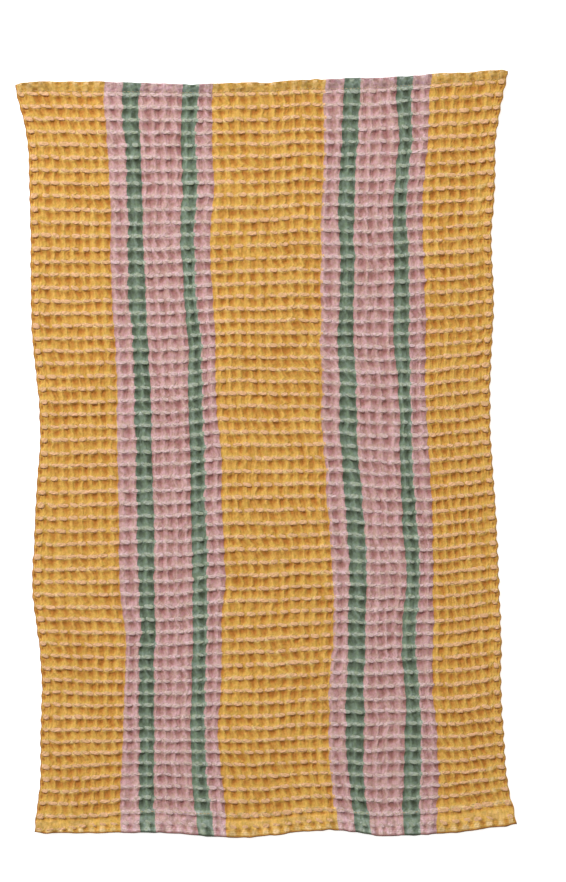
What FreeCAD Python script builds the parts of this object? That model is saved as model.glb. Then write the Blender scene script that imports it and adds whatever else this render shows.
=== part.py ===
import FreeCAD, Part
import os
from bisect import bisect_right
from FreeCAD import Vector

# Waffle-weave striped towel lying flat, face up, in three bodies parted by two fold lines.
# +Z up, length along Y, width along X, left is -X and top is +Y. The underside is on z = 0,
# with the origin under the centre of the bounding box. All sizes in millimetres.
os.makedirs("parts", exist_ok=True)

# ---------------------------------------------------------------- driving sizes
WARP_T = 3.3          # thickness of the warp stripes
SELVEDGE_W = 9.6      # width of each woven edge band
SELVEDGE_T = 3.5      # thickness of the edge bands
CLOTH_T = 4.5         # height of the weft rows' upper face, the full thickness
GAP = 0.1             # clearance between neighbouring groups of yarn
FOLD_GAP = 0.2        # clearance at each side of a fold line
END_GAP = 0.4         # extra distance a weft row or thread stops short of a fold line

ROWS = 57             # raised weft rows between the two hems
ROW_W = 3.8           # width of one weft row
ROW_EDGE_INSET = 1.2  # how far a weft row stops short of the towel's side edge
ROW_POINT_STEP = 24.0 # least spacing aimed for between points along a weft row
ROW_Z = max(WARP_T, SELVEDGE_T) + GAP    # underside of the weft rows

HEM_T = 4.3           # thickness of the turned hems
TOP_HEM = 9.8         # depth of the hem at the +Y end
BOTTOM_HEM = 13.6     # depth of the hem at the -Y end
SEAM_IN = 1.7         # stitch line to the hem's inner edge
THREAD_W = 0.5        # width of a sewing thread
THREAD_T = 0.5        # height of a sewing thread
GROOVE = 0.1          # clearance around a sewing thread

OVERSHOOT = 1.0       # how far a cutting solid passes the face it cuts
FIELD_TOP = 10.0      # top of the trimming solid, well above the cloth

# Shift of the tables below that centres the bounding box.
SHIFT_X, SHIFT_Y = -0.527, -0.375

# ---------------------------------------------------------------- lengthwise curves
# Each list holds the x of one curve at these y stations, from the -Y end to the +Y end.
STATIONS_Y = [
    -316.7, -293.2, -273.0, -232.5, -192.0, -151.5, -111.0, -70.5, -30.0, 10.5,
    51.0, 91.5, 132.0, 172.5, 213.0, 253.5, 272.2, 288.4, 302.9, 319.1]
LEFT_EDGE = [
    -187.1, -186.1, -183.2, -182.3, -181.2, -183.6, -188.7, -187.3, -185.6, -182.7,
    -184.3, -188.7, -189.9, -190.3, -191.2, -193.1, -196.4, -200.9, -202.9, -202.9]
RIGHT_EDGE = [
    204.1, 202.5, 197.6, 193.4, 190.9, 190.9, 189.4, 187.8, 185.5, 182.7,
    181.9, 183.6, 184.7, 183.0, 185.7, 186.6, 189.0, 191.9, 195.1, 197.9]

# Boundaries between the coloured stripes, from left to right.
STRIPE_LINES = [
    # yellow left | pink 1
    [-117.5, -117.4, -117.2, -115.2, -114.1, -113.3, -117.6, -117.7, -119.0, -119.8,
     -120.0, -121.7, -124.5, -125.5, -125.9, -128.6, -129.5, -130.2, -130.6, -131.0],
    # pink 1 | green 1
    [-101.5, -102.1, -102.6, -102.1, -102.0, -101.5, -102.8, -103.7, -104.5, -105.4,
     -106.8, -108.1, -111.4, -111.8, -112.0, -114.1, -115.0, -115.6, -116.0, -116.4],
    # green 1 | pink 2
    [-89.3, -90.0, -90.6, -90.6, -89.9, -89.3, -89.8, -90.1, -91.4, -92.3,
     -93.3, -95.5, -97.3, -99.4, -99.9, -101.8, -102.1, -102.1, -102.1, -102.1],
    # pink 2 | green 2, the left fold line
    [-54.2, -56.1, -58.0, -59.8, -59.8, -58.5, -58.5, -59.8, -60.0, -60.8,
     -61.6, -63.3, -66.3, -68.4, -67.6, -68.6, -68.5, -68.2, -67.9, -67.7],
    # green 2 | pink 3
    [-42.0, -43.9, -46.0, -49.1, -49.2, -47.2, -47.1, -47.9, -49.2, -49.6,
     -50.9, -52.2, -55.6, -57.1, -55.5, -56.4, -55.9, -55.3, -54.9, -54.5],
    # pink 3 | yellow centre
    [-31.8, -32.5, -33.6, -38.1, -36.6, -35.5, -33.5, -33.5, -35.5, -36.8,
     -40.0, -40.0, -42.1, -44.0, -41.8, -42.8, -42.9, -42.9, -42.9, -42.9],
    # yellow centre | pink 4
    [58.4, 56.5, 54.4, 51.4, 52.0, 54.2, 55.5, 53.3, 49.5, 46.4,
     45.4, 44.6, 44.0, 45.3, 46.3, 47.5, 47.4, 47.1, 46.9, 46.7],
    # pink 4 | green 3
    [73.0, 71.1, 68.8, 64.7, 65.5, 66.5, 67.8, 66.9, 63.3, 60.9,
     59.9, 58.7, 59.8, 59.9, 59.5, 61.5, 62.3, 62.9, 63.4, 63.8],
    # green 3 | pink 5, the right fold line
    [86.2, 83.1, 80.2, 79.5, 80.1, 80.4, 81.6, 80.7, 77.1, 74.7,
     73.5, 71.4, 70.7, 71.9, 72.3, 74.4, 75.3, 75.9, 76.3, 76.7],
    # pink 5 | green 4
    [111.8, 111.8, 111.8, 111.9, 112.9, 110.8, 113.0, 112.4, 110.2, 108.5,
     106.8, 103.9, 103.0, 103.6, 104.1, 107.2, 107.0, 106.4, 105.9, 105.5],
    # green 4 | pink 6
    [124.7, 124.7, 124.8, 125.4, 124.5, 122.1, 123.8, 124.2, 120.9, 118.3,
     116.7, 115.9, 115.7, 114.4, 114.6, 117.8, 118.3, 118.3, 118.3, 118.3],
    # pink 6 | yellow right
    [136.6, 137.8, 139.0, 138.9, 135.7, 135.4, 135.9, 135.3, 134.1, 130.7,
     129.0, 129.4, 128.6, 126.7, 127.5, 131.0, 132.0, 132.6, 133.0, 133.4],
]

# ---------------------------------------------------------------- crosswise curves
# The y of each end edge at these x stations, from the -X side to the +X side.
STATIONS_X = [
    -219.1, -202.9, -185.9, -161.6, -137.3, -104.9, -80.6, -56.3, -23.9, -7.7, 8.5, 24.7,
    40.9, 57.1, 73.3, 89.5, 105.7, 121.9, 138.1, 154.3, 170.5, 186.7, 202.9, 222.3]
TOP_EDGE = [
    300.0, 300.6, 301.2, 301.3, 301.3, 300.5, 299.7, 299.1, 300.4, 300.5, 300.9, 302.6,
    303.3, 303.8, 304.2, 304.6, 305.4, 306.3, 307.7, 308.6, 309.5, 310.9, 311.8, 312.4]
BOTTOM_EDGE = [
    -305.7, -306.2, -306.9, -307.0, -307.0, -306.5, -306.8, -308.6, -310.7, -310.1, -308.5,
    -306.4, -305.0, -304.3, -306.3, -308.9, -309.0, -308.6, -307.8, -306.6, -304.0, -302.1,
    -300.6, -299.3]

# ---------------------------------------------------------------- layout
# Strips of each body from left to right; neighbours share a line of STRIP_LINES.
BODIES = {
    "left": ["selvedge_left", "warp_yellow_left", "warp_pink_1", "warp_green_1",
             "warp_pink_2"],
    "centre": ["warp_green_2", "warp_pink_3", "warp_yellow_centre", "warp_pink_4",
               "warp_green_3"],
    "right": ["warp_pink_5", "warp_green_4", "warp_pink_6", "warp_yellow_right",
              "selvedge_right"],
}
STRIP_LINES = [
    LEFT_EDGE,
    [x + SELVEDGE_W for x in LEFT_EDGE],
    *STRIPE_LINES,
    [x - SELVEDGE_W for x in RIGHT_EDGE],
    RIGHT_EDGE,
]


# ---------------------------------------------------------------- helpers
def point(x, y, z=0):
    """Table position moved into the centred frame."""
    return Vector(x + SHIFT_X, y + SHIFT_Y, z)


def spline(points):
    curve = Part.BSplineCurve()
    curve.interpolate(points)
    return curve.toShape()


def prism(first, second, z0, z1):
    """Solid between two curves that run the same way."""
    wire = Part.Wire([
        spline(first),
        Part.makeLine(first[-1], second[-1]),
        spline(second),
        Part.makeLine(second[0], first[0]),
    ])
    face = Part.Face(wire)
    face.translate(Vector(0, 0, z0))
    return face.extrude(Vector(0, 0, z1 - z0))


def strip(left, right, left_gap, right_gap, thickness):
    """Lengthwise solid on z = 0, held back from its side curves by the gaps."""
    left_points = [point(x + left_gap, y) for x, y in zip(left, STATIONS_Y)]
    right_points = [point(x - right_gap, y) for x, y in zip(right, STATIONS_Y)]
    return prism(left_points, right_points, 0, thickness)


def band(low, low_shift, high, high_shift, z0, z1):
    """Crosswise solid between two end curves, each moved along Y."""
    low_points = [point(x, y + low_shift) for x, y in zip(STATIONS_X, low)]
    high_points = [point(x, y + high_shift) for x, y in zip(STATIONS_X, high)]
    return prism(low_points, high_points, z0, z1)


def value_at(table, stations, t):
    """Straight-line value of a table at t; the end segments run on past the table."""
    i = min(max(bisect_right(stations, t) - 1, 0), len(stations) - 2)
    f = (t - stations[i]) / (stations[i + 1] - stations[i])
    return table[i] + f * (table[i + 1] - table[i])


def only_solid(shape):
    solids = shape.Solids
    if len(solids) != 1:
        raise RuntimeError("expected one solid, got %d" % len(solids))
    return solids[0]


def save(name, shape):
    shape.exportStep("parts/%s.step" % name)


# ---------------------------------------------------------------- pieces
def save_strips(names, lines, left_gap, right_gap, field):
    """Warp groups and edge bands of one body, trimmed to the field between the hems."""
    last = len(names) - 1
    for i, name in enumerate(names):
        thickness = SELVEDGE_T if name.startswith("selvedge") else WARP_T
        gap0 = left_gap if i == 0 else GAP / 2
        gap1 = right_gap if i == last else GAP / 2
        solid = strip(lines[i], lines[i + 1], gap0, gap1, thickness)
        save(name, only_solid(solid.common(field)))


def weft_row(left, right, left_inset, right_inset, fraction):
    """One raised bar, at a fraction of the way from the bottom hem to the top hem."""
    def row_y(x):
        low = value_at(BOTTOM_EDGE, STATIONS_X, x) + BOTTOM_HEM
        high = value_at(TOP_EDGE, STATIONS_X, x) - TOP_HEM
        return low + fraction * (high - low)

    def row_end(line):
        return value_at(line, STATIONS_Y, row_y(value_at(line, STATIONS_Y, 0)))

    x_start, x_end = row_end(left), row_end(right)
    count = max(2, int((x_end - x_start) / ROW_POINT_STEP))

    def side_points(shift):
        points = []
        for k in range(count + 1):
            x = x_start + (x_end - x_start) * k / count
            y = row_y(x) + shift
            if k == 0:
                x = value_at(left, STATIONS_Y, y) + left_inset
            elif k == count:
                x = value_at(right, STATIONS_Y, y) - right_inset
            points.append(point(x, y, ROW_Z))
        return points

    ring = side_points(-ROW_W / 2) + side_points(ROW_W / 2)[::-1]
    wire = Part.makePolygon(ring + [ring[0]])
    return Part.Face(wire).extrude(Vector(0, 0, CLOTH_T - ROW_Z))


def save_hem(end, body, sides, gaps, edge, seam_shift, slab):
    """One body's part of a hem, with a sewing thread let into each face."""
    def seam_band(half_width, z0, z1):
        return band(edge, seam_shift - half_width, edge, seam_shift + half_width, z0, z1)

    needle_z = HEM_T - THREAD_T
    bobbin_top = THREAD_T + GROOVE
    half_groove = THREAD_W / 2 + GROOVE
    hem = only_solid(strip(*sides, *gaps, HEM_T).common(slab))
    hem = hem.cut(seam_band(half_groove, needle_z - GROOVE, HEM_T + OVERSHOOT))
    hem = hem.cut(seam_band(half_groove, -OVERSHOOT, bobbin_top + GROOVE))
    save("%s_hem_%s" % (end, body), only_solid(hem))

    seat = strip(*sides, gaps[0] + END_GAP, gaps[1] + END_GAP, HEM_T)
    for kind, z0, z1 in (("needle", needle_z, HEM_T), ("bobbin", GROOVE, bobbin_top)):
        thread = seat.common(seam_band(THREAD_W / 2, z0, z1))
        save("%s_%s_thread_%s" % (end, kind, body), only_solid(thread))


# ---------------------------------------------------------------- build
field = band(BOTTOM_EDGE, BOTTOM_HEM + GAP / 2, TOP_EDGE, -TOP_HEM - GAP / 2,
             -OVERSHOOT, FIELD_TOP)
# end: edge curve, stitch line's shift from it, slab that trims the hem
HEMS = {
    "top": (TOP_EDGE, -TOP_HEM + SEAM_IN,
            band(TOP_EDGE, -TOP_HEM + GAP / 2, TOP_EDGE, 0.0, 0, HEM_T)),
    "bottom": (BOTTOM_EDGE, BOTTOM_HEM - SEAM_IN,
               band(BOTTOM_EDGE, 0.0, BOTTOM_EDGE, BOTTOM_HEM - GAP / 2, 0, HEM_T)),
}

first = 0
for body, names in BODIES.items():
    lines = STRIP_LINES[first:first + len(names) + 1]
    first += len(names)
    sides = (lines[0], lines[-1])
    outer = (body == "left", body == "right")
    gaps = [0.0 if is_outer else FOLD_GAP for is_outer in outer]
    insets = [ROW_EDGE_INSET if is_outer else END_GAP for is_outer in outer]

    save_strips(names, lines, *gaps, field)
    rows = [weft_row(*sides, *insets, (i + 0.5) / ROWS) for i in range(ROWS)]
    save("weft_" + body, Part.makeCompound(rows))
    for end, hem_data in HEMS.items():
        save_hem(end, body, sides, gaps, *hem_data)
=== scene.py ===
# A striped waffle-weave cotton cloth with side bands and a hem at each end, lying flat, face up.
# X runs across it, Y along it with the top hem at +Y, and Z is up from the floor. It folds along
# two lines parallel to Y, into a centre panel and a wing at each side.
# The weave has its own coordinates: col counts warp columns from the left, 0 to COLS, and row
# counts weft rows from the bottom, 0 to ROWS. Bands and hems lie outside those ranges.
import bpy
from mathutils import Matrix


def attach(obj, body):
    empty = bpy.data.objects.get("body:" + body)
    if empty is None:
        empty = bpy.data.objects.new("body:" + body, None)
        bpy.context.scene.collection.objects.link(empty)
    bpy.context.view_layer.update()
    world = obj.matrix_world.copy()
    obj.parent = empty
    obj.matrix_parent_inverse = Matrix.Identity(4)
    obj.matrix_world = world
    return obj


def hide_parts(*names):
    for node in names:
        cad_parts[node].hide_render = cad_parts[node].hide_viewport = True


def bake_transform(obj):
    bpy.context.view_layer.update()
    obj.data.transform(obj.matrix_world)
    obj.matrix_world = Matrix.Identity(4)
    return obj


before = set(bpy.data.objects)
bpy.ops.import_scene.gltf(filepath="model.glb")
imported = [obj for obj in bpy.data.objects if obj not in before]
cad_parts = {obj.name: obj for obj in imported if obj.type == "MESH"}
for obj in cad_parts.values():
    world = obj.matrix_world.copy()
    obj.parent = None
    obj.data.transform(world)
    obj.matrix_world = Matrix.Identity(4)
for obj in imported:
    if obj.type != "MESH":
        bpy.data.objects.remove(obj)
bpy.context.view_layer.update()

from types import SimpleNamespace

import bpy
import numpy as np
from mathutils import Vector

TURN = 2 * np.pi

# ------------------------------------------------------------------ sizes, mm
SHIFT_X, SHIFT_Y = -0.527, -0.375   # moves the whole cloth
TOP_HEM, BOTTOM_HEM, BAND_WIDTH = 9.8, 13.6, 9.6
DEPTH = 2.35            # relief of the waffle
SHEET = 1.58            # height of the pits' floor on the face
MIN_THICKNESS = 0.55

# ------------------------------------------------------------------ sizes, columns and rows
COLS, ROWS = 42.5, 57
BAND_COLS = 1.25
COL_LEFT, COL_RIGHT = -BAND_COLS, COLS + BAND_COLS
ROW_LOW, ROW_HIGH = -1.35, ROWS + 0.97
COL_STEPS, ROW_STEPS = 12, 14       # grid steps per column and per row
BAND_POINTS, TOP_HEM_POINTS, BOTTOM_HEM_POINTS = 16, 16, 22

LEFT_END, RIGHT_START = 13.5, 30.0  # columns where the hems and weft are divided
MIDDLE = (LEFT_END + RIGHT_START) / 2

# Lengthwise pieces: name, first column, yarn, wing whose fold bends it (None: flat centre).
# Each ends where the next starts.
STRIPES = [
    ("selvedge_left", COL_LEFT, "yellow", "left_wing"),
    ("warp_yellow_left", 0.0, "yellow", "left_wing"),
    ("warp_pink_1", 6.5, "pink", "left_wing"),
    ("warp_green_1", 8.0, "green", "left_wing"),
    ("warp_pink_2", 9.5, "pink", "left_wing"),
    ("warp_green_2", LEFT_END, "green", "left_wing"),
    ("warp_pink_3", 15.0, "pink", "left_wing"),
    ("warp_yellow_centre", 16.5, "yellow", None),
    ("warp_pink_4", 27.0, "pink", "right_wing"),
    ("warp_green_3", 28.5, "green", "right_wing"),
    ("warp_pink_5", RIGHT_START, "pink", "right_wing"),
    ("warp_green_4", 34.0, "green", "right_wing"),
    ("warp_pink_6", 35.5, "pink", "right_wing"),
    ("warp_yellow_right", 37.0, "yellow", "right_wing"),
    ("selvedge_right", COLS, "yellow", "right_wing"),
]
STRIPE_COLS = np.array([stripe[1] for stripe in STRIPES] + [COL_RIGHT])

# Pieces of the hems and weft: name, first and last column, wing whose fold bends them.
PANELS = [
    ("left", COL_LEFT, LEFT_END, "left_wing"),
    ("centre_a", LEFT_END, MIDDLE, "left_wing"),
    ("centre_b", MIDDLE, RIGHT_START, "right_wing"),
    ("right", RIGHT_START, COL_RIGHT, "right_wing"),
]

# ------------------------------------------------------------------ measured outline, mm
# x of the two side edges and of each change of yarn, left to right, at these y.
STATIONS_Y = [
    -316.7, -293.2, -273.0, -232.5, -192.0, -151.5, -111.0, -70.5, -30.0, 10.5,
    51.0, 91.5, 132.0, 172.5, 213.0, 253.5, 272.2, 288.4, 302.9, 319.1]
LEFT_EDGE = [
    -187.1, -186.1, -183.2, -182.3, -181.2, -183.6, -188.7, -187.3, -185.6, -182.7,
    -184.3, -188.7, -189.9, -190.3, -191.2, -193.1, -196.4, -200.9, -202.9, -202.9]
YARN_CHANGES = [
    [-117.5, -117.4, -117.2, -115.2, -114.1, -113.3, -117.6, -117.7, -119.0, -119.8,
     -120.0, -121.7, -124.5, -125.5, -125.9, -128.6, -129.5, -130.2, -130.6, -131.0],
    [-101.5, -102.1, -102.6, -102.1, -102.0, -101.5, -102.8, -103.7, -104.5, -105.4,
     -106.8, -108.1, -111.4, -111.8, -112.0, -114.1, -115.0, -115.6, -116.0, -116.4],
    [-89.3, -90.0, -90.6, -90.6, -89.9, -89.3, -89.8, -90.1, -91.4, -92.3,
     -93.3, -95.5, -97.3, -99.4, -99.9, -101.8, -102.1, -102.1, -102.1, -102.1],
    [-54.2, -56.1, -58.0, -59.8, -59.8, -58.5, -58.5, -59.8, -60.0, -60.8,
     -61.6, -63.3, -66.3, -68.4, -67.6, -68.6, -68.5, -68.2, -67.9, -67.7],
    [-42.0, -43.9, -46.0, -49.1, -49.2, -47.2, -47.1, -47.9, -49.2, -49.6,
     -50.9, -52.2, -55.6, -57.1, -55.5, -56.4, -55.9, -55.3, -54.9, -54.5],
    [-31.8, -32.5, -33.6, -38.1, -36.6, -35.5, -33.5, -33.5, -35.5, -36.8,
     -40.0, -40.0, -42.1, -44.0, -41.8, -42.8, -42.9, -42.9, -42.9, -42.9],
    [58.4, 56.5, 54.4, 51.4, 52.0, 54.2, 55.5, 53.3, 49.5, 46.4,
     45.4, 44.6, 44.0, 45.3, 46.3, 47.5, 47.4, 47.1, 46.9, 46.7],
    [73.0, 71.1, 68.8, 64.7, 65.5, 66.5, 67.8, 66.9, 63.3, 60.9,
     59.9, 58.7, 59.8, 59.9, 59.5, 61.5, 62.3, 62.9, 63.4, 63.8],
    [86.2, 83.1, 80.2, 79.5, 80.1, 80.4, 81.6, 80.7, 77.1, 74.7,
     73.5, 71.4, 70.7, 71.9, 72.3, 74.4, 75.3, 75.9, 76.3, 76.7],
    [111.8, 111.8, 111.8, 111.9, 112.9, 110.8, 113.0, 112.4, 110.2, 108.5,
     106.8, 103.9, 103.0, 103.6, 104.1, 107.2, 107.0, 106.4, 105.9, 105.5],
    [124.7, 124.7, 124.8, 125.4, 124.5, 122.1, 123.8, 124.2, 120.9, 118.3,
     116.7, 115.9, 115.7, 114.4, 114.6, 117.8, 118.3, 118.3, 118.3, 118.3],
    [136.6, 137.8, 139.0, 138.9, 135.7, 135.4, 135.9, 135.3, 134.1, 130.7,
     129.0, 129.4, 128.6, 126.7, 127.5, 131.0, 132.0, 132.6, 133.0, 133.4]]
RIGHT_EDGE = [
    204.1, 202.5, 197.6, 193.4, 190.9, 190.9, 189.4, 187.8, 185.5, 182.7,
    181.9, 183.6, 184.7, 183.0, 185.7, 186.6, 189.0, 191.9, 195.1, 197.9]

# y of the top and bottom edges at these x.
STATIONS_X = [
    -219.1, -202.9, -185.9, -161.6, -137.3, -104.9, -80.6, -56.3, -23.9, -7.7, 8.5, 24.7,
    40.9, 57.1, 73.3, 89.5, 105.7, 121.9, 138.1, 154.3, 170.5, 186.7, 202.9, 222.3]
TOP_EDGE = [
    300.0, 300.6, 301.2, 301.3, 301.3, 300.5, 299.7, 299.1, 300.4, 300.5, 300.9, 302.6,
    303.3, 303.8, 304.2, 304.6, 305.4, 306.3, 307.7, 308.6, 309.5, 310.9, 311.8, 312.4]
BOTTOM_EDGE = [
    -305.7, -306.2, -306.9, -307.0, -307.0, -306.5, -306.8, -308.6, -310.7, -310.1, -308.5, -306.4,
    -305.0, -304.3, -306.3, -308.9, -309.0, -308.6, -307.8, -306.6, -304.0, -302.1, -300.6, -299.3]

# How far each row lies above an even spacing, in hundredths of a row.
# One line per DRIFT_ROWS, one entry per DRIFT_COLS.
DRIFT_COLS = [1, *range(4, 41, 4)]
DRIFT_ROWS = [1, *range(5, 56, 5)]
DRIFT = [
    [18, 30, 59, 62, 70, 65, 59, 51, 70, 81, 79],
    [9, 16, 28, 32, 50, 50, 34, 25, 60, 59, 34],
    [-8, -10, -12, -5, 30, 37, 20, 23, 60, 53, 45],
    [-24, -29, -30, -9, 32, 35, 21, 28, 57, 53, 50],
    [-40, -33, -23, -12, 36, 39, 19, 21, 30, 17, 15],
    [-33, -24, -13, 1, 46, 54, 30, 18, 10, -3, 4],
    [-17, -12, -5, 14, 64, 67, 39, 19, 11, -3, 0],
    [-18, -12, -3, 16, 58, 62, 36, 8, 4, -2, 6],
    [-17, -18, -13, 0, 27, 37, 21, -3, 3, 6, 4],
    [-10, -13, -13, 2, 21, 27, 22, 8, 9, 12, 9],
    [10, 8, 8, 20, 28, 27, 23, 11, 12, 13, 11],
    [15, 10, 11, 18, 16, 15, 14, 2, 5, 10, 11]]

# How far each ridge lies right of its whole column number, in hundredths of a column.
# One line per LEAN_ROWS, one entry per LEAN_COLS.
LEAN_COLS = np.arange(0.5, 43, 2)
LEAN_ROWS = [3, 9, 16, 23, 30, 37, 44, 51, 55]
LEAN = [
    [23, 7, -9, -21, -22, -21, -14, 9, 11, 20, 24, 25, 28, 26, 21, 22, 28, 61, 51, 42, 23, 17],
    [22, 10, -9, -24, -24, -22, -18, 14, 5, 3, 7, 15, 21, 24, 27, 29, 29, 52, 54, 47, 9, -25],
    [20, 9, -6, -19, -20, -15, -6, 9, 3, 4, 11, 17, 22, 28, 29, 29, 23, 45, 47, 34, -9, -21],
    [27, 24, -1, -15, -18, -14, -7, 9, -1, 2, 4, 8, 17, 26, 28, 27, 30, 57, 49, 29, -13, -26],
    [22, 10, -13, -16, -17, -17, -12, 6, 5, 0, 0, 9, 15, 23, 26, 29, 32, 53, 48, 18, -6, -10],
    [16, 5, -8, -17, -20, -16, -6, 2, -1, -6, -10, -5, 8, 20, 23, 27, 30, 58, 49, 15, -2, -3],
    [17, 5, -6, -17, -21, -19, -9, -1, -9, -4, 9, 20, 22, 24, 23, 29, 30, 51, 51, 45, 30, 17],
    [25, 16, 1, -16, -21, -16, -7, 6, -4, 3, 18, 27, 24, 22, 23, 26, 29, 51, 45, 30, 15, 7],
    [24, 14, 1, -16, -22, -19, -10, 0, -14, -8, 7, 22, 21, 20, 21, 24, 28, 58, 50, 29, 10, 0]]


# ------------------------------------------------------------------ numeric helpers
def spline(stations, values):
    """Natural cubic spline through a table, held level beyond its ends."""
    x, y = np.asarray(stations, float), np.asarray(values, float)
    count, gaps = len(x), np.diff(x)
    matrix, right = np.zeros((count, count)), np.zeros(count)
    matrix[0, 0] = matrix[-1, -1] = 1
    for i in range(1, count - 1):
        matrix[i, i - 1:i + 2] = gaps[i - 1], 2 * (gaps[i - 1] + gaps[i]), gaps[i]
        right[i] = 6 * ((y[i + 1] - y[i]) / gaps[i] - (y[i] - y[i - 1]) / gaps[i - 1])
    bend = np.linalg.solve(matrix, right)

    def curve(at):
        at = np.clip(at, x[0], x[-1])
        i = np.clip(np.searchsorted(x, at) - 1, 0, count - 2)
        past, left, gap = at - x[i], x[i + 1] - at, gaps[i]
        return ((bend[i] * left**3 + bend[i + 1] * past**3) / (6 * gap)
                + (y[i] / gap - bend[i] * gap / 6) * left
                + (y[i + 1] / gap - bend[i + 1] * gap / 6) * past)

    return curve


def smooth(low, high, value):
    value = np.clip((value - low) / (high - low), 0, 1)
    return value * value * (3 - 2 * value)


def bell(value, centre, width):
    return np.exp(-(((value - centre) / width) ** 2))


def mix(first, second, share):
    return first * (1 - share) + second * share


def fraction(value):
    return value - np.floor(value)


def mix_four(table, i, j, share_i, share_j):
    """Mixes entry (i, j) with its next neighbours; the table wraps round."""
    high, wide = table.shape
    i, next_i, j, next_j = i % high, (i + 1) % high, j % wide, (j + 1) % wide
    return mix(mix(table[i, j], table[next_i, j], share_i),
               mix(table[i, next_j], table[next_i, next_j], share_i), share_j)


LATTICES = {}


def noise(x, y, seed):
    """Smooth value noise in -1..1 with one lattice point per unit."""
    if seed not in LATTICES:
        LATTICES[seed] = np.random.default_rng(seed).uniform(-1, 1, (128, 128))
    i, j = np.floor(x).astype(int), np.floor(y).astype(int)
    return mix_four(LATTICES[seed], i, j, smooth(0, 1, x - i), smooth(0, 1, y - j))


# ------------------------------------------------------------------ fine lookup tables
FINE = 0.5      # their spacing, in mm, rows or columns
FINE_Y = np.arange(-340.0, 340.01, FINE)
FINE_X = np.arange(-230.0, 230.01, FINE)
CURVES = [
    LEFT_EDGE, np.array(LEFT_EDGE) + BAND_WIDTH, *YARN_CHANGES,
    np.array(RIGHT_EDGE) - BAND_WIDTH, RIGHT_EDGE]
CURVE_TABLE = np.array([spline(STATIONS_Y, curve)(FINE_Y) for curve in CURVES])
TOP_TABLE = spline(STATIONS_X, TOP_EDGE)(FINE_X)
BOTTOM_TABLE = spline(STATIONS_X, BOTTOM_EDGE)(FINE_X)


def fine_table(hundredths, rows, cols):
    """A table splined to FINE steps over the woven field, first along rows, then columns."""
    fine_rows, fine_cols = np.arange(0, ROWS + 0.01, FINE), np.arange(0, COLS + 0.01, FINE)
    table = np.array(hundredths, float).T / 100
    table = np.array([spline(rows, line)(fine_rows) for line in table])
    return np.array([spline(cols, line)(fine_cols) for line in table.T])


DRIFT_TABLE = fine_table(DRIFT, DRIFT_ROWS, DRIFT_COLS)
LEAN_TABLE = fine_table(LEAN, LEAN_ROWS, LEAN_COLS)


def look_up(table, col, row):
    i = np.clip(row / FINE, 0, table.shape[0] - 1.0001)
    j = np.clip(col / FINE, 0, table.shape[1] - 1.0001)
    low_i, low_j = i.astype(int), j.astype(int)
    return mix_four(table, low_i, low_j, i - low_i, j - low_j)


# ------------------------------------------------------------------ from weave to x, y
def weave_col(col, row):
    """Column coordinate of the weave's own ridges."""
    return col - look_up(LEAN_TABLE, col, row)


def cloth_col(weave, row):
    """The inverse of weave_col, by damped steps."""
    col = weave
    for _ in range(12):
        col = col + 0.7 * (weave - weave_col(col, row))
    return col


def x_of(col, y):
    k = np.clip(np.searchsorted(STRIPE_COLS, col, side="right") - 1, 0, len(STRIPE_COLS) - 2)
    across = (col - STRIPE_COLS[k]) / (STRIPE_COLS[k + 1] - STRIPE_COLS[k])
    along = np.clip((y - FINE_Y[0]) / FINE, 0, len(FINE_Y) - 1.001)
    i = along.astype(int)
    share = along - i
    left = mix(CURVE_TABLE[k, i], CURVE_TABLE[k, i + 1], share)
    right = mix(CURVE_TABLE[k + 1, i], CURVE_TABLE[k + 1, i + 1], share)
    return mix(left, right, across)


def y_of(row, drift, x):
    """y of a row drifting by so many rows; the hems take up what the outermost rows leave."""
    bottom, top = np.interp(x, FINE_X, BOTTOM_TABLE), np.interp(x, FINE_X, TOP_TABLE)
    low, high = bottom + BOTTOM_HEM, top - TOP_HEM
    y = low + (high - low) * (np.clip(row, 0, ROWS) + drift) / ROWS
    y = np.where(row < 0, y + (y - bottom) * row / -ROW_LOW, y)
    return np.where(row > ROWS, y + (top - y) * (row - ROWS) / (ROW_HIGH - ROWS), y)


def edge_distances(col, row):
    """Distance in columns to the nearer side and in rows to the nearer end."""
    return (np.minimum(col - COL_LEFT, COL_RIGHT - col),
            np.minimum(row - ROW_LOW, ROW_HIGH - row))


def place(col, row):
    """Flat arrays of column and row coordinates to x, y in mm."""
    drift = look_up(DRIFT_TABLE, col, row)
    y = -300 + 600 * row / ROWS     # a first guess, then x and y settle together
    for _ in range(4):
        x = x_of(col, y)
        y = y_of(row, drift, x)
    from_side, from_end = edge_distances(col, row)
    in_x, in_y = smooth(0, 1.6, from_side), smooth(0, 1.8, from_end)
    # unevenness, fine and then slow, fading out at the edges
    wander = 0.80 * noise(col, row, seed=11) + 0.9 * noise(col / 4.3, row / 3.1, seed=12)
    x = x + in_x * wander * (0.35 + 0.65 * in_y)
    x = x - in_x * 0.30 * np.sin(TURN * row)
    wander = 0.60 * noise(col + 0.37, row, seed=13) + 0.5 * noise(col / 5.1, row / 3.7, seed=14)
    y = y + in_y * wander * (0.5 + 0.5 * in_x)
    # scalloped side edges, one swelling per row
    edge = 1 - smooth(0, 0.5, from_side)
    side = np.where(col < COLS / 2, -1.0, 1.0)
    scallop = np.where(side > 0, 0.50, 0.30) * (np.cos(TURN * (row - 0.62)) - 0.4)
    x = x + side * edge * (scallop + 0.30 * noise(row * 1.7, row * 0 + 5, seed=15))
    # slightly uneven hem edges with turned-in corners
    edge = 1 - smooth(0, 0.6, from_end)
    y = y + edge * 0.45 * noise(col * 1.6, col * 0 + 2, seed=16)
    inward = np.where(row > ROWS / 2, -1.0, 1.0)
    y = y + edge * inward * 1.3 * (1 - smooth(0, 1.1, from_side))
    return x + SHIFT_X, y + SHIFT_Y


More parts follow.
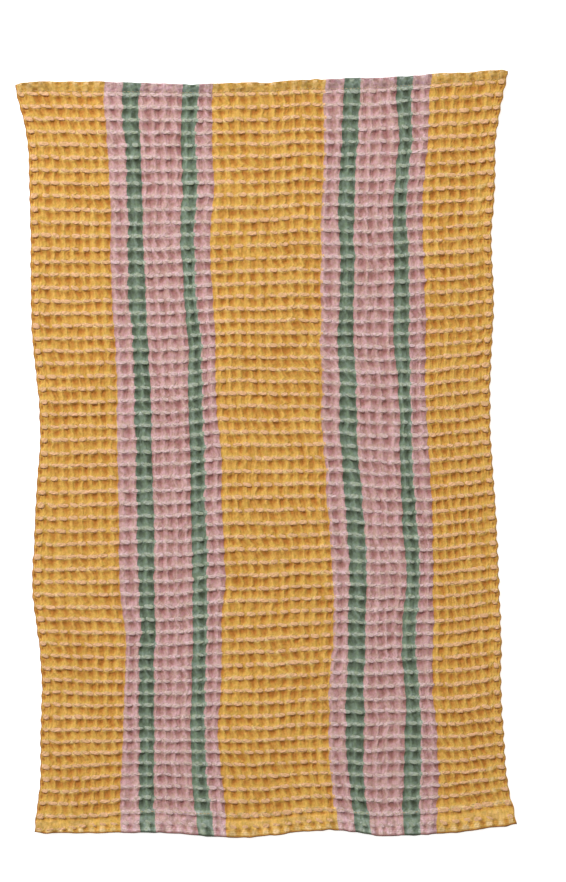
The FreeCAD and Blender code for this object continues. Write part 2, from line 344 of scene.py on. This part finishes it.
# ------------------------------------------------------------------ relief
def saw(part):
    """Ridge lean within one row: right at the bottom, left at the top."""
    return (0.5 - part) * smooth(0, 0.16, part) * smooth(0, 0.16, 1 - part)


def waffle(col, row, seed):
    """Relief and the leaning column coordinate. Ridges and row crests are at whole numbers; the
    pit is deepest close under the upper crest and rises slowly to the lower one."""
    lean = 0.36 + 0.40 * noise(col / 3.3, row / 2.3, seed + 1)
    leaning = col - lean * saw(fraction(row)) + 0.06 * noise(col * 2.1, row * 2.7, seed + 5)
    across = fraction(leaning)
    wavy = (row + 0.03 * np.sin(np.pi * across) + 0.08 * noise(col, row, seed + 2)
            + 0.05 * noise(col * 2.9, row * 1.7, seed + 6))
    along = fraction(wavy)
    pit_col, pit_row = np.floor(leaning) + 0.5, np.floor(wavy) + 0.5
    ridge_at = np.round(leaning), np.floor(row) + 0.5
    # row crests, each stretch at its own height
    lower = np.clip(1 - (along - 0.02) / 0.58, 0, 1) ** 1.4
    upper = smooth(0.55, 0.80, along)
    crest = np.maximum(lower, upper) * (0.67 + 0.14 * noise(pit_col, np.round(wavy), seed + 4))
    # ridges, steep on the right and gentle on the left, each with its own width and height
    width = 1 + 0.30 * noise(*ridge_at, seed + 8)
    ridge = np.maximum(
        1 / (1 + (across / (0.19 * width)) ** 4.0),
        1 / (1 + ((1 - across) / (0.29 * width)) ** 2.6))
    ridge = ridge * (0.66 + 0.16 * noise(*ridge_at, seed + 3)) * (1 - 0.18 * bell(along, 0.60, 0.17))
    relief = 1 - (1 - ridge) * (1 - np.clip(crest, 0, 1))
    # no two pits alike: some part filled, with strands standing in them
    fill = 0.04 + 0.24 * noise(pit_col, pit_row, seed + 9)
    wander = 0.16 * noise(col * 1.9, row * 1.3, seed + 10)
    high = 0.5 + 0.5 * noise(np.round((leaning + wander) * 3), pit_row, seed + 11)
    strand = (0.5 + 0.5 * np.cos(TURN * 3 * (leaning + wander))) * (0.04 + 0.20 * high)
    relief = relief + (1 - relief) * (np.clip(fill, 0, 1) + strand * (1 - 0.75 * upper))
    relief += 0.20 * noise(col * 2.9, row * 3.1, seed + 7) * (1 - 0.5 * relief)
    return np.clip(relief, 0, 1.12), leaning


def low_row(col):
    """Row coordinate of the last row of weft floats, on the bottom hem."""
    return -1.04 + 0.30 * smooth(0.0, 4.5, col) - 0.10 * smooth(38.0, 43.0, col)


# Dents in each row of a side band: depth, then centre and width outwards and within the row.
BAND_DENTS = [
    (0.50, 0.92, 0.17, 0.38, 0.16),
    (0.45, 0.66, 0.30, 0.70, 0.09),
    (0.35, 0.12, 0.15, 0.58, 0.22),
]


def side_bands(col, row):
    """Closer weave. Like the hems, gives its share of the relief, its face and its back."""
    out = np.maximum(-col, col - COLS)
    face = 0.74 + 0.13 * np.cos(TURN * (row - 0.05)) + 0.06 * np.sin(TURN * 3.2 * out)
    face = face + 0.14 * noise(col * 3.1, row * 3.3, seed=37)
    for depth, out_at, out_width, row_at, row_width in BAND_DENTS:
        face = face - depth * bell(out, out_at, out_width) * bell(fraction(row), row_at, row_width)
    back = 0.62 + 0.2 * np.cos(TURN * (row + 0.5)) + 0.10 * noise(col * 3.3, row * 3.1, seed=38)
    return smooth(-0.20, 0.22, out), face, back


def hems(col, row, weave):
    """The top and the bottom hem: columns show as swellings with dents in the gaps between."""
    off_ridge = np.abs(weave - np.round(weave) + 0.05 * noise(col * 1.4, row * 2.0, seed=44))
    gap = smooth(0.14, 0.42, off_ridge)
    each = 0.5 + 0.5 * noise(np.floor(weave) + 0.5, row * 0 + 3.5, seed=45)
    rough = (0.10 * noise(col * 2.6, row * 2.8, seed=41)
             + 0.09 * noise(col * 5.1, row * 5.7, seed=42))
    back = 0.80 - 0.2 * gap + rough
    out = row - ROWS
    dents = 0.26 * bell(out, 0.24, 0.16) + 0.50 * each * bell(out, 0.74, 0.13) + 0.08
    top = smooth(-0.02, 0.14, out), 0.86 + rough - gap * dents, back
    # bottom: dents beyond the last floats, a seam on each ridge, a groove along the stitches
    out = -row
    last = -low_row(col)
    face = 0.90 + 0.6 * rough - 0.05 * gap - gap * 0.45 * bell(out, last + 0.20, 0.10)
    face = face - (0.06 + 0.26 * each**2) * gap * smooth(last + 0.18, last + 0.34, out)
    face = face - 0.14 * bell(off_ridge, 0.0, 0.05) * bell(out, 0.45, 0.3)
    face = face - (0.30 + 0.22 * gap) * bell(out, 0.34, 0.09)
    return top, (smooth(0.02, 0.14, out), face, back)


def heights(col, row):
    """x, y, face and back height in mm, both reliefs and both leaning column coordinates."""
    weave = weave_col(col, row)
    face, face_col = waffle(weave, row, 100)
    back, back_col = waffle(weave + 0.5, row + 0.4, 200)
    for share, other_face, other_back in (side_bands(col, row), *hems(col, row, weave)):
        face, back = mix(face, other_face, share), mix(back, other_back, share)
    face, back = np.clip(face, 0, 1.08), np.clip(back, 0, 1.0)
    # slow rise and fall of the cloth as it lies
    rise = (0.30 + 0.28 * noise(col / 7.0, row / 8.0, seed=31)
            + 0.10 * noise(col / 2.2, row / 2.6, seed=32))
    z_face = SHEET + DEPTH * face + 0.14 * noise(col * 5.3, row * 5.9, seed=51) + rise
    z_back = (0.55 + DEPTH * 0.9 * (1 - back)
              + 0.06 * noise(col * 5.1, row * 5.3, seed=52) + rise)
    z_back = np.minimum(z_back, z_face - MIN_THICKNESS)
    # rounded outer edges: face and back close up to one line, their relief to a rim value that only
    # colours the edge, as painted shade darkest along the left and bottom edges
    from_side = edge_distances(col, row)[0] * BAND_WIDTH / BAND_COLS
    from_end = np.minimum(
        (row - ROW_LOW) * BOTTOM_HEM / -ROW_LOW,
        (ROW_HIGH - row) * TOP_HEM / (ROW_HIGH - ROWS))
    middle = 1.75 + rise
    for distance, radius, rim_shade in (
            (from_side, 2.0, np.where(col > COLS / 2, 0.40, -0.32)),
            (from_end, 2.2, np.where(row > ROWS / 2, 0.55, -0.45))):
        arc = np.clip(distance / radius, 0, 1)
        arc = np.sqrt(np.clip(1 - (1 - arc) ** 2, 0, 1))
        z_face, z_back = middle + (z_face - middle) * arc, middle + (z_back - middle) * arc
        inside = smooth(0.02, 0.65, distance / radius)
        face, back = mix(rim_shade, face, inside), mix(rim_shade, back, inside)
    x, y = place(col, row)
    return x, y, z_face, z_back, face, back, face_col, back_col


# ------------------------------------------------------------------ meshes
def mesh_object(name, verts_mm, groups, material, cell, stripe, sharp=()):
    """A mesh from arrays: groups holds (n, k) arrays of vertex numbers, one face per line, and
    edges between two sharp vertices are marked sharp."""
    mesh = bpy.data.meshes.new(name)
    mesh.vertices.add(len(verts_mm))
    metres = np.asarray(verts_mm, np.float64) / 1000
    mesh.vertices.foreach_set("co", metres.astype(np.float32).ravel())
    total = np.concatenate([np.full(len(group), group.shape[1], np.int32) for group in groups])
    mesh.loops.add(int(total.sum()))
    corners = np.concatenate([group.astype(np.int32).ravel() for group in groups])
    mesh.loops.foreach_set("vertex_index", corners)
    mesh.polygons.add(len(total))
    starts = np.concatenate([[0], np.cumsum(total)[:-1]]).astype(np.int32)
    mesh.polygons.foreach_set("loop_start", starts)
    mesh.polygons.foreach_set("loop_total", total)
    mesh.update(calc_edges=True)
    mesh.validate()
    attribute = mesh.attributes.new("cell", "FLOAT_VECTOR", "POINT")
    attribute.data.foreach_set("vector", np.asarray(cell, np.float32).ravel())
    attribute = mesh.attributes.new("stripe", "FLOAT", "POINT")
    attribute.data.foreach_set("value", np.asarray(stripe, np.float32).ravel())
    mesh.polygons.foreach_set("use_smooth", np.full(len(mesh.polygons), True))
    if len(sharp):
        ends = np.zeros(len(mesh.edges) * 2, np.int32)
        mesh.edges.foreach_get("vertices", ends)
        marks = (mesh.attributes.get("sharp_edge")
                 or mesh.attributes.new("sharp_edge", "BOOLEAN", "EDGE"))
        marks.data.foreach_set("value", np.isin(ends.reshape(-1, 2), sharp).all(1))
    mesh.materials.append(material)
    ob = bpy.data.objects.new(name, mesh)
    bpy.context.scene.collection.objects.link(ob)
    return ob


def spaced(low, high, steps, gather):
    """Grid values gathered towards whole numbers (gather > 0) or between them (< 0)."""
    even = np.linspace(low, high, int(round((high - low) * steps)) + 1)
    return even - gather * np.sin(TURN * even) / TURN


def grid_cols(first, last, gather):
    if first < 0:
        band = np.linspace(first, 0, BAND_POINTS)
        return np.concatenate([band[:-1], spaced(0, last, COL_STEPS, 0.0)]) if last > 0 else band
    if last > COLS:
        band = np.linspace(COLS, last, BAND_POINTS)
        if first < COLS:
            return np.concatenate([spaced(first, COLS, COL_STEPS, gather), band[1:]])
        return band
    return spaced(first, last, COL_STEPS, 0.0)


def grid_rows(first, last, gather):
    if first < 0:
        return np.linspace(first, last, BOTTOM_HEM_POINTS)
    if last > ROWS:
        return np.linspace(first, last, TOP_HEM_POINTS)
    return spaced(first, last, ROW_STEPS, gather)


def cloth_piece(name, col_range, row_range, material):
    """A closed piece of cloth, face and back both in relief."""
    sides = []
    for gather in (0.20, -0.20):
        cols, rows = grid_cols(*col_range, gather), grid_rows(*row_range, gather)
        col, row = np.meshgrid(cols, rows, indexing="ij")
        sides.append((col.ravel(), row.ravel()))
    wide, high = len(cols), len(rows)
    (col, row), (back_col, back_row) = sides
    x, y, z, _, relief, _, leaning, _ = heights(col, row)
    back_x, back_y, _, back_z, _, back_relief, _, back_leaning = heights(back_col, back_row)
    verts = np.concatenate([np.c_[x, y, z], np.c_[back_x, back_y, back_z]])
    cell = np.concatenate([
        np.c_[leaning, row, relief],
        np.c_[back_leaning, back_row + 0.4, back_relief]])
    i, j = np.meshgrid(np.arange(wide - 1), np.arange(high - 1), indexing="ij")
    corner = (i * high + j).ravel()
    count = wide * high
    face = np.c_[corner, corner + high, corner + high + 1, corner + 1]
    back = face[:, [0, 3, 2, 1]] + count
    ring = np.concatenate([
        np.arange(wide) * high,
        (wide - 1) * high + np.arange(1, high),
        np.arange(wide - 2, -1, -1) * high + high - 1,
        np.arange(high - 2, 0, -1)])
    following = np.roll(ring, -1)
    wall = np.c_[ring, ring + count, following + count, following]
    # edges that round off stay smooth; cut edges between pieces are sharp
    from_side, from_end = edge_distances(col[ring], row[ring])
    cut = ring[(from_side > 1e-6) & (from_end > 1e-6)]
    return mesh_object(
        name, verts, [np.concatenate([face, back, wall])], material, cell,
        np.concatenate([col, back_col]), sharp=np.concatenate([cut, cut + count]))


# ------------------------------------------------------------------ colours
def srgb(*levels):
    return tuple(((c / 255 + 0.055) / 1.055) ** 2.4 if c > 10 else c / 255 / 12.92
                 for c in levels) + (1,)


# In the pits (a darker, warmer colour that is painted shade), on the slopes, where the rows cross;
# then the weft float, shaded and lit (painted shade and painted light).
SHADES = ("pit", "slope", "crossing", "float_shaded", "float_lit")


def yarn_shades(*levels):
    return dict(zip(SHADES, (srgb(*level) for level in levels)))


YARNS = {
    "yellow": yarn_shades(
        (184, 115, 43), (206, 162, 77), (226, 192, 140), (197, 143, 99), (221, 174, 128)),
    "pink": yarn_shades(
        (160, 106, 101), (192, 153, 149), (216, 187, 184), (181, 144, 140), (207, 177, 173)),
    "green": yarn_shades(
        (70, 79, 62), (114, 130, 111), (176, 184, 168), (108, 118, 100), (159, 168, 150)),
}
# grey of the painted shade along the cloth's edges
RIM_SHADE_GREY = srgb(100, 98, 84)
# shaded and lit colour of the sewing thread, mixed as painted shade and painted light
THREAD_SHADED_AND_LIT = (srgb(172, 142, 98), srgb(200, 170, 128))
WHITE = (1, 1, 1, 1)
RAMP_COLS = 44.0    # columns spanned by a yarn ramp


# ------------------------------------------------------------------ materials
class Shader:
    """A material with one Principled surface, and short ways to add its nodes."""

    def __init__(self, name):
        self.material = bpy.data.materials.new(name)
        self.material.use_nodes = True
        self.tree = self.material.node_tree
        self.tree.nodes.clear()
        output = self.add("ShaderNodeOutputMaterial")
        self.principled = self.add("ShaderNodeBsdfPrincipled")
        self.put(output.inputs[0], self.principled.outputs[0])

    def add(self, kind, **values):
        node = self.tree.nodes.new(kind)
        for key, value in values.items():
            setattr(node, key, value)
        return node

    def put(self, socket, value):
        """Links an output to the socket, or sets the socket's own value."""
        if hasattr(value, "is_output"):
            self.tree.links.new(value, socket)
        else:
            socket.default_value = value

    def surface(self, values):
        for key, value in values.items():
            self.put(self.principled.inputs[key], value)

    def math(self, operation, first, second=0.0):
        node = self.add("ShaderNodeMath", operation=operation)
        self.put(node.inputs[0], first)
        self.put(node.inputs[1], second)
        return node.outputs[0]

    def plus(self, first, second):
        return self.math("ADD", first, second)

    def minus(self, first, second):
        return self.math("SUBTRACT", first, second)

    def times(self, first, second):
        return self.math("MULTIPLY", first, second)

    def gain(self, value, base, amount):
        return self.plus(base, self.times(value, amount))

    def loss(self, value, base, amount):
        return self.minus(base, self.times(value, amount))

    def swing(self, value, amount):
        """A noise in 0..1 made to swing about zero."""
        return self.times(self.minus(value, 0.5), amount)

    def step(self, value, low, high, to_low=0.0, to_high=1.0):
        node = self.add("ShaderNodeMapRange", interpolation_type="SMOOTHSTEP")
        names = ("Value", "From Min", "From Max", "To Min", "To Max")
        for key, item in zip(names, (value, low, high, to_low, to_high)):
            self.put(node.inputs[key], item)
        return node.outputs["Result"]

    def mix(self, share, first, second, mode="MIX"):
        node = self.add("ShaderNodeMix", data_type="RGBA", blend_type=mode)
        for i, item in ((0, share), (6, first), (7, second)):
            self.put(node.inputs[i], item)
        return node.outputs[2]

    def multiply(self, colour, other):
        return self.mix(1.0, colour, other, "MULTIPLY")

    def tone(self, colour, level):
        return self.multiply(colour, self.xyz(level, level, level))

    def noise(self, vector, scale, detail=2.0, rough=0.5):
        node = self.add("ShaderNodeTexNoise")
        for key, item in (
                ("Vector", vector), ("Scale", scale), ("Detail", detail), ("Roughness", rough)):
            self.put(node.inputs[key], item)
        return node.outputs["Fac"]

    def xyz(self, x, y, z=0.0):
        node = self.add("ShaderNodeCombineXYZ")
        for socket, value in zip(node.inputs, (x, y, z)):
            self.put(socket, value)
        return node.outputs[0]

    def cell(self):
        """The three parts of the cell attribute."""
        node = self.add("ShaderNodeSeparateXYZ")
        attribute = self.add("ShaderNodeAttribute", attribute_name="cell")
        self.put(node.inputs[0], attribute.outputs["Vector"])
        return node.outputs

    def stripe(self):
        return self.add("ShaderNodeAttribute", attribute_name="stripe").outputs["Fac"]

    def bump(self, distance, *weighted):
        """Bumps the surface by a sum of (value, weight) pairs."""
        heights = [self.times(*pair) for pair in weighted]
        total = heights[0]
        for height in heights[1:]:
            total = self.plus(total, height)
        node = self.add("ShaderNodeBump")
        node.inputs["Strength"].default_value = 1.0
        node.inputs["Distance"].default_value = distance
        self.put(node.inputs["Height"], total)
        self.surface({"Normal": node.outputs[0]})


def yarn_ramp(net, stripe, shade):
    """One shade of whichever yarn the column has."""
    node = net.add("ShaderNodeValToRGB")
    node.color_ramp.interpolation = "CONSTANT"
    stops = node.color_ramp.elements
    stops.remove(stops[-1])
    (_, _, yarn, _), *others = STRIPES[1:-1]
    stops[0].position, stops[0].color = 0.0, YARNS[yarn][shade]
    for _, col, yarn, _ in others:
        stops.new(col / RAMP_COLS).color = YARNS[yarn][shade]
    net.put(node.inputs[0], net.math("DIVIDE", stripe, RAMP_COLS))
    return node.outputs[0]


def cotton(net, colour, grain, mottle, patch):
    """Uneven dye: warmer and greener flecks, light and dark fibres, slow patches."""
    flecks = net.step(mottle, 0.35, 0.65)
    colour = net.mix(
        flecks,
        net.multiply(colour, (0.99, 1.01, 0.88, 1)),
        net.multiply(colour, (1.015, 0.99, 1.09, 1)))
    level = net.gain(mottle, base=0.62, amount=0.76)
    level = net.times(level, net.gain(grain, base=0.90, amount=0.20))
    level = net.times(level, net.gain(patch, base=0.92, amount=0.16))
    return net.tone(colour, level)


def cloth_material(name, yarn=None, paleness=0.0, shade=None):
    """Woven cotton: leaning warp strands, darker and warmer in the pits as painted shade, paler
    where the weft crosses. Without a yarn it is hem cloth, striped by column and multiplied by
    shade."""
    net = Shader(name)
    col, row, height = net.cell()
    position = net.add("ShaderNodeTexCoord").outputs["Object"]
    grain = net.noise(position, scale=1000.0, detail=3.0, rough=0.6)
    mottle = net.noise(position, scale=360.0, detail=3.0, rough=0.65)
    spot = net.noise(position, scale=170.0)
    patch = net.noise(position, scale=30.0)

    # warp strands: three to a column, leaning with the ridges
    strand = net.plus(net.plus(net.times(col, 3.0), 0.5), net.swing(spot, 1.1))
    dome = net.math("ABSOLUTE", net.math("SINE", net.times(strand, np.pi)))
    # twist of the strands, 7 turns to a row
    ply = net.math("SINE", net.plus(net.times(row, TURN * 7.0), net.times(strand, TURN * 0.5)))
    streak = net.noise(net.xyz(net.times(col, 3.0), net.times(row, 1.5)), scale=1.0, rough=0.6)
    weft_wave = net.math("SINE", net.times(row, TURN * 10.0))

    # the band under each row crest where the weft shows through
    part = net.math("FRACT", net.plus(row, 0.65))
    part = net.math("ABSOLUTE", net.minus(part, 0.5))
    pale = net.step(net.plus(part, net.swing(mottle, 0.30)), 0.28, 0.06)
    if paleness:
        pale = net.math("MAXIMUM", pale, net.times(net.step(spot, 0.3, 0.6), paleness))

    def tint(which):
        return YARNS[yarn][which] if yarn else yarn_ramp(net, net.stripe(), which)

    # painted shade: the colour runs from the pit colour up to the slope colour as the relief rises
    level = net.step(net.plus(height, net.swing(streak, 0.45)), 0.05, 0.92)
    colour = net.mix(level, tint("pit"), tint("slope"))
    crossing = net.times(pale, net.step(height, 0.68, 1.0))
    colour = net.mix(crossing, colour, tint("crossing"))
    # painted shade in the lines between strands and in the pits, darker the lower the relief;
    # streaks along the warp
    line = net.minus(1.0, net.step(dome, 0.0, 0.55))
    line = net.times(line, net.loss(pale, base=1.0, amount=0.7))
    tone = net.times(
        net.loss(line, base=1.02, amount=0.12), net.gain(height, base=0.80, amount=0.26))
    tone = net.times(tone, net.gain(streak, base=0.82, amount=0.36))
    colour = net.tone(colour, tone)
    # the very edge, greyer: painted shade along the rim, strongest where its rim value is lowest
    rim_shade = net.times(net.step(height, 0.10, -0.30), 0.8)
    colour = net.mix(rim_shade, colour, net.mix(0.15, RIM_SHADE_GREY, tint("slope")))
    if not yarn:  # dark dents in the hem
        # painted shade: random dark spots stand for the shade in dents of the hem
        dent_shade = net.step(net.noise(position, scale=130.0), 0.56, 0.36)
        dent_shade = net.loss(dent_shade, base=1.0, amount=0.26)
        colour = net.multiply(colour, net.xyz(*(net.times(dent_shade, level) for level in shade)))
    colour = cotton(net, colour, grain, mottle, patch)
    net.surface({
        "Base Color": colour,
        "Roughness": net.step(grain, 0.2, 0.8, to_low=0.82, to_high=0.97),
        "Specular IOR Level": 0.2,
        "Sheen Weight": 0.15,
        "Sheen Roughness": 0.55,
        "Sheen Tint": net.mix(0.4, colour, WHITE)})
    net.bump(0.0010, (dome, 0.20), (ply, 0.03), (net.times(weft_wave, pale), 0.08),
             (grain, 0.14), (mottle, 0.75))
    return net.material


def yarn_material(name, pair, turns, sheen):
    """Plied cotton yarn. The cell attribute runs along it and round it, and its third part mixes the
    pair as painted shade and painted light. The pair is its shaded and lit colour; None takes the
    float shades of the column's yarn."""
    net = Shader(name)
    along, around, height = net.cell()
    position = net.add("ShaderNodeTexCoord").outputs["Object"]
    grain = net.noise(position, scale=1100.0, detail=3.0, rough=0.6)
    mottle = net.noise(position, scale=430.0, detail=3.0, rough=0.65)
    patch = net.noise(position, scale=55.0)
    twist = net.plus(net.times(along, TURN * turns), net.times(around, TURN * 2.0))
    twist = net.math("SINE", twist)
    # painted shade and light: the shaded colour low on the bundle, the lit colour over its top
    level = net.plus(net.plus(height, net.swing(grain, 0.7)), net.times(twist, 0.08))
    level = net.step(level, 0.0, 0.85)
    if pair is None:
        stripe = net.stripe()
        pair = yarn_ramp(net, stripe, "float_shaded"), yarn_ramp(net, stripe, "float_lit")
    net.surface({
        "Base Color": cotton(net, net.mix(level, *pair), grain, mottle, patch),
        "Roughness": net.step(grain, 0.2, 0.8, to_low=0.80, to_high=0.96),
        "Specular IOR Level": 0.2,
        "Sheen Weight": sheen,
        "Sheen Roughness": 0.5})
    net.bump(0.0006, (twist, 0.18), (grain, 0.5))
    return net.material


WAFFLE = {yarn: cloth_material(yarn + "_waffle_cotton", yarn) for yarn in YARNS}
HEM = {
    "top": cloth_material("top_hem_cotton", paleness=0.34, shade=(0.89, 0.89, 0.93)),
    "bottom": cloth_material("bottom_hem_cotton", paleness=0.35, shade=(1.12, 1.12, 1.15)),
}
WEFT_YARN = yarn_material("pale_weft_yarn", None, turns=1.6, sheen=0.2)
SEWING_THREAD = yarn_material("spun_sewing_thread", THREAD_SHADED_AND_LIT, turns=2.0, sheen=0.1)


def fit(ob, wing, node):
    """Bakes a wing piece's placement into its mesh, or attaches a centre piece to the centre body;
    hides the part it stands for.
    """
    if wing is None:
        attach(ob, "centre")
    else:
        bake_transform(ob)
    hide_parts(node)


# ------------------------------------------------------------------ woven field and hems
for (node, first, yarn, wing), last in zip(STRIPES, STRIPE_COLS[1:]):
    ob = cloth_piece("cloth_" + node, (first, last), (0.0, float(ROWS)), WAFFLE[yarn])
    fit(ob, wing, node)

for end, row_range in (("top", (float(ROWS), ROW_HIGH)), ("bottom", (ROW_LOW, 0.0))):
    for part, first, last, wing in PANELS:
        ob = cloth_piece(f"{end}_hem_cloth_{part}", (first, last), row_range, HEM[end])
        fit(ob, wing, f"{end}_hem_{part.split('_')[0]}")

# ------------------------------------------------------------------ weft floats and stitches
# Lengths are in columns, widths and sag in rows, rise and sink in mm. The section goes round the
# bundle as (across, up). Powers shape the spacing of the rings and the taper of the ends.
HEXAGON = np.linspace(0, TURN, 7)[:-1] + np.pi / 6
FLOAT = SimpleNamespace(
    half_length=0.43, half_width=0.150, rise=0.46, sink=-0.06, sag=0.01, looseness=1.0,
    rings=7, ring_power=0.62, taper_power=4.5, fitted=True,
    # two plies side by side over the top, corners tucked under
    section=np.array([
        (-1.0, -0.1), (-0.84, 0.55), (-0.36, 0.80), (0.02, 0.70),
        (0.42, 0.98), (0.86, 0.55), (1.0, -0.1), (0.0, -0.6)]))
STITCH = SimpleNamespace(
    half_length=0.150, half_width=0.022, rise=0.22, sink=0.06, sag=0.0, looseness=0.35,
    rings=6, ring_power=0.85, taper_power=2.6, fitted=False,
    section=np.c_[np.cos(HEXAGON), np.sin(HEXAGON)])
STITCH_PITCH = 0.36


def bundles(name, centres, style, face, material, seed):
    """Short bundles lying along the rows; centres is (n, 2) of column and row coordinates."""
    rng = np.random.default_rng(seed)
    count, rings, section = len(centres), style.rings, style.section
    points, loose = len(section), style.looseness

    def column(values):
        return values[:, None, None]

    def scale(low, high):
        return column(rng.uniform(low, high, count))

    along = np.sin(np.linspace(-np.pi / 2, np.pi / 2, rings))
    along = np.sign(along) * np.abs(along) ** style.ring_power
    taper = np.sqrt(np.clip(1 - (np.abs(along) * 0.985) ** style.taper_power, 0, 1))
    along, taper = along[None, :, None], taper[None, :, None]
    # no two alike
    length = style.half_length * scale(1 - 0.24 * loose, 1 + 0.12 * loose)
    width = style.half_width * scale(1 - 0.25 * loose, 1 + 0.25 * loose)
    rise = style.rise * scale(1 - 0.45 * loose, 1 + 0.30 * loose)
    sag = style.sag * scale(0.3, 1.7)
    tilt = column(rng.normal(-0.030 * loose, 0.022 * loose, count))
    slip = column(rng.normal(0, 0.035 * loose, count))
    mirror = column(rng.choice([-1.0, 1.0], count))
    bright = scale(0.70, 1.0)
    sink = style.sink
    mid_col, mid_row = column(centres[:, 0]), column(centres[:, 1])
    if style.fitted:
        # rounder in the side bands, short on the hem
        band, short = (mid_col < 0) | (mid_col > COLS), mid_row < -0.5
        length = length * np.where(short, 0.74, np.where(band, 0.86, 1.0))
        width = width * np.where(short, 0.84, np.where(band, 1.28, 1.0))
        # both rows beside the bottom hem are pressed into it
        low = mid_row < 0.3
        rise, width = rise * np.where(low, 0.85, 1.0), width * np.where(low, 0.86, 1.0)
        sink = sink + np.where(low, 0.20, 0.0)
    line_col = mid_col + slip + along * length
    line_row = mid_row + tilt * along - sag * (1 - along**2)
    shape = (count, rings, points)
    col = np.broadcast_to(line_col, shape).ravel()
    row = line_row + taper * width * section[:, 0] * mirror
    x, y = place(col, row.ravel())
    # each ring stands on the cloth under its middle
    ground = heights(line_col.ravel(), line_row.ravel())[2 if face else 3]
    ground = ground.reshape(count, rings, 1)
    lift = -sink + taper * rise * section[:, 1]
    z = ground + lift if face else ground - lift
    base = column(np.arange(count) * rings * points)
    ring = base + np.arange(rings - 1)[None, :, None] * points
    k = np.arange(points)
    k_next = (k + 1) % points
    sides = np.stack(
        [ring + k, ring + k_next, ring + points + k_next, ring + points + k], -1)
    sides = sides.reshape(count, -1, 4)
    ends = base[:, 0] + k[::-1], base[:, 0] + (rings - 1) * points + k
    flip = (mirror.ravel() > 0) ^ (not face)
    sides = np.where(flip[:, None, None], sides[:, :, ::-1], sides).reshape(-1, 4)
    caps = np.concatenate([np.where(flip[:, None], end[:, ::-1], end) for end in ends])
    # painted light and shade: lighter over the top of the section and towards the middle, darker
    # beneath and at the ends; bright is each bundle's own random tone
    height = (0.35 + 0.65 * taper * np.clip(section[:, 1], 0, 1)) * bright
    cell = [np.broadcast_to(item, shape).ravel() for item in (along * 0.5, k / points, height)]
    return mesh_object(
        name, np.c_[x, y, z.ravel()], [sides, caps], material, np.stack(cell, 1), col)


def float_centres(first, last, face):
    """Columns and rows of the weft floats on one face between two columns."""
    cols = np.arange(-1, COLS + 2) + (0.16 if face else 0.5)
    if face:  # the last row lies on the bottom hem
        rows = np.append(np.arange(0, ROWS + 1) - 0.13, -1.0)
    else:
        rows = np.arange(0, ROWS) + 0.52
    col, row = (grid.ravel() for grid in np.meshgrid(cols, rows, indexing="ij"))
    col = cloth_col(col, row)
    inside = (col > 0.22) & (col < COLS - 0.22) & (col >= first) & (col < last)
    col, row = col[inside], row[inside]
    if face:  # and one per row in each side band
        for band in (-0.68, COLS + 0.70):
            if first < band < last:
                col, row = np.append(col, np.full(len(rows), band)), np.append(row, rows)
    return np.c_[col, np.where(row == -1.0, low_row(col), row)]


for part, first, last, wing in PANELS:
    for face, label in ((True, "face"), (False, "back")):
        ob = bundles(
            f"weft_{part}_{label}", float_centres(first, last, face), FLOAT, face,
            WEFT_YARN, seed=7 + int(first * 2 + 50) + face)
        fit(ob, wing, "weft_" + part.split("_")[0])

for end, row in (("top", ROWS + 0.10), ("bottom", -0.14)):
    for part, first, last, wing in PANELS:
        cols = np.arange(first + STITCH_PITCH / 2, last - 0.12, STITCH_PITCH)
        centres = np.c_[cols, np.full(len(cols), row)]
        for face, label in ((True, "needle"), (False, "bobbin")):
            ob = bundles(
                f"{end}_{label}_stitches_{part}", centres, STITCH, face, SEWING_THREAD, seed=90)
            fit(ob, wing, f"{end}_{label}_thread_{part.split('_')[0]}")

# ------------------------------------------------------------------ floor
bpy.ops.mesh.primitive_plane_add(size=30, location=(0, 0, -0.0002))
floor = bpy.context.object
floor.name = "floor"
net = Shader("pale_floor")
net.surface({
    "Base Color": (0.78, 0.78, 0.78, 1),
    "Roughness": 0.9,
    "Specular IOR Level": 0.1,
    "Emission Color": WHITE,
    "Emission Strength": 0.66})
floor.data.materials.append(net.material)

# ------------------------------------------------------------------ world
# white to the camera and softer as a light
AMBIENT, SEEN = 0.38, 1.0
world = bpy.data.worlds.new("studio")
bpy.context.scene.world = world
world.use_nodes = True
nodes, links = world.node_tree.nodes, world.node_tree.links
background = nodes["Background"]
background.inputs["Color"].default_value = WHITE
background.inputs["Strength"].default_value = AMBIENT
light_path = nodes.new("ShaderNodeLightPath")
strength = nodes.new("ShaderNodeMapRange")
strength.inputs["To Min"].default_value = AMBIENT
strength.inputs["To Max"].default_value = SEEN
links.new(light_path.outputs["Is Camera Ray"], strength.inputs["Value"])
links.new(strength.outputs["Result"], background.inputs["Strength"])


# ------------------------------------------------------------------ lights and camera
def disk_light(name, location, size, energy, colour):
    """A round area light aimed at the origin."""
    light = bpy.data.lights.new(name, "AREA")
    light.shape = "DISK"
    light.size, light.energy, light.color = size, energy, colour
    ob = bpy.data.objects.new(name, light)
    bpy.context.scene.collection.objects.link(ob)
    ob.location = location
    aim = Vector((0, 0, 0)) - Vector(location)
    ob.rotation_euler = aim.to_track_quat("-Z", "Y").to_euler()


disk_light("key", (-1.25, 1.65, 1.9), size=1.1, energy=78.0, colour=(0.975, 0.985, 1.0))
disk_light("fill", (0.8, -2.0, 2.6), size=2.4, energy=14.0, colour=(1.0, 0.985, 0.95))

lens = bpy.data.cameras.new("camera")
lens.lens, lens.sensor_width = 85, 36
lens.clip_end = 50
camera = bpy.data.objects.new("camera", lens)
bpy.context.scene.collection.objects.link(camera)
camera.location = (0.01365, 0.01015, 1.687)
camera.rotation_euler = (0, 0, 0)   # straight down
bpy.context.scene.camera = camera
bpy.context.scene.view_settings.view_transform = "Standard"
bpy.context.scene.view_settings.look = "None"
